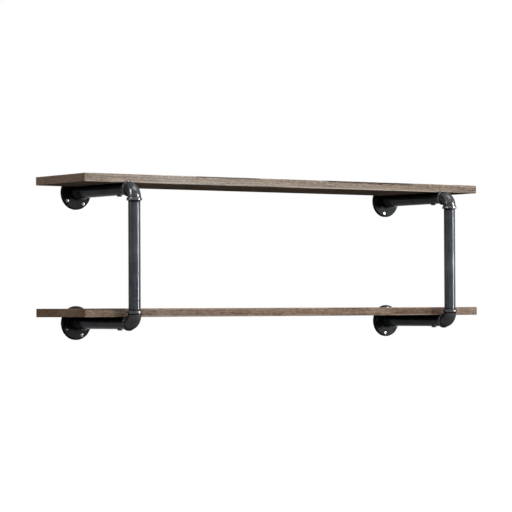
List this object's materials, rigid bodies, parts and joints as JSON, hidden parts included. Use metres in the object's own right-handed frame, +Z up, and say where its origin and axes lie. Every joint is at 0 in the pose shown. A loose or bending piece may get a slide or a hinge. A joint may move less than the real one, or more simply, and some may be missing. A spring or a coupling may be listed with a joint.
{
  "type": "pipe shelving unit",
  "caption": "Wall-hung shelf of wooden boards carried on dark pipe arms, joined by elbows and uprights in front and screwed to the wall through round flanges.",
  "frame": {"origin": "on the wall plane, midway between the left and right flanges, at the lower arms' axis", "axes": "+X along the boards to the viewer's right, +Y into the wall (the front faces -Y), +Z up"},
  "size_m": [1.1, 0.2648, 0.368],
  "materials": {
    "upper_board": "weathered brown, matt oiled",
    "lower_board": "weathered brown, matt oiled",
    "pipe": "blue-black satin coating",
    "fitting": "blackened malleable iron",
    "board_screw": "black",
    "insert": "bright"
  },
  "bodies": {
    "root": {"lower_shelf_board": "lower_board", "upper_shelf_board": "upper_board", "lower_left_wall_flange": "fitting", "lower_left_arm_pipe": "pipe", "lower_left_elbow": "fitting", "lower_left_rear_board_screw": "board_screw", "lower_left_rear_insert": "insert", "lower_left_front_board_screw": "board_screw", "lower_left_front_insert": "insert", "lower_right_wall_flange": "fitting", "lower_right_arm_pipe": "pipe", "lower_right_elbow": "fitting", "lower_right_rear_board_screw": "board_screw", "lower_right_rear_insert": "insert", "lower_right_front_board_screw": "board_screw", "lower_right_front_insert": "insert", "upper_left_wall_flange": "fitting", "upper_left_arm_pipe": "pipe", "upper_left_elbow": "fitting", "upper_left_rear_board_screw": "board_screw", "upper_left_rear_insert": "insert", "upper_left_front_board_screw": "board_screw", "upper_left_front_insert": "insert", "upper_right_wall_flange": "fitting", "upper_right_arm_pipe": "pipe", "upper_right_elbow": "fitting", "upper_right_rear_board_screw": "board_screw", "upper_right_rear_insert": "insert", "upper_right_front_board_screw": "board_screw", "upper_right_front_insert": "insert", "left_upright_pipe": "pipe", "right_upright_pipe": "pipe"}
  },
  "joints": []
}
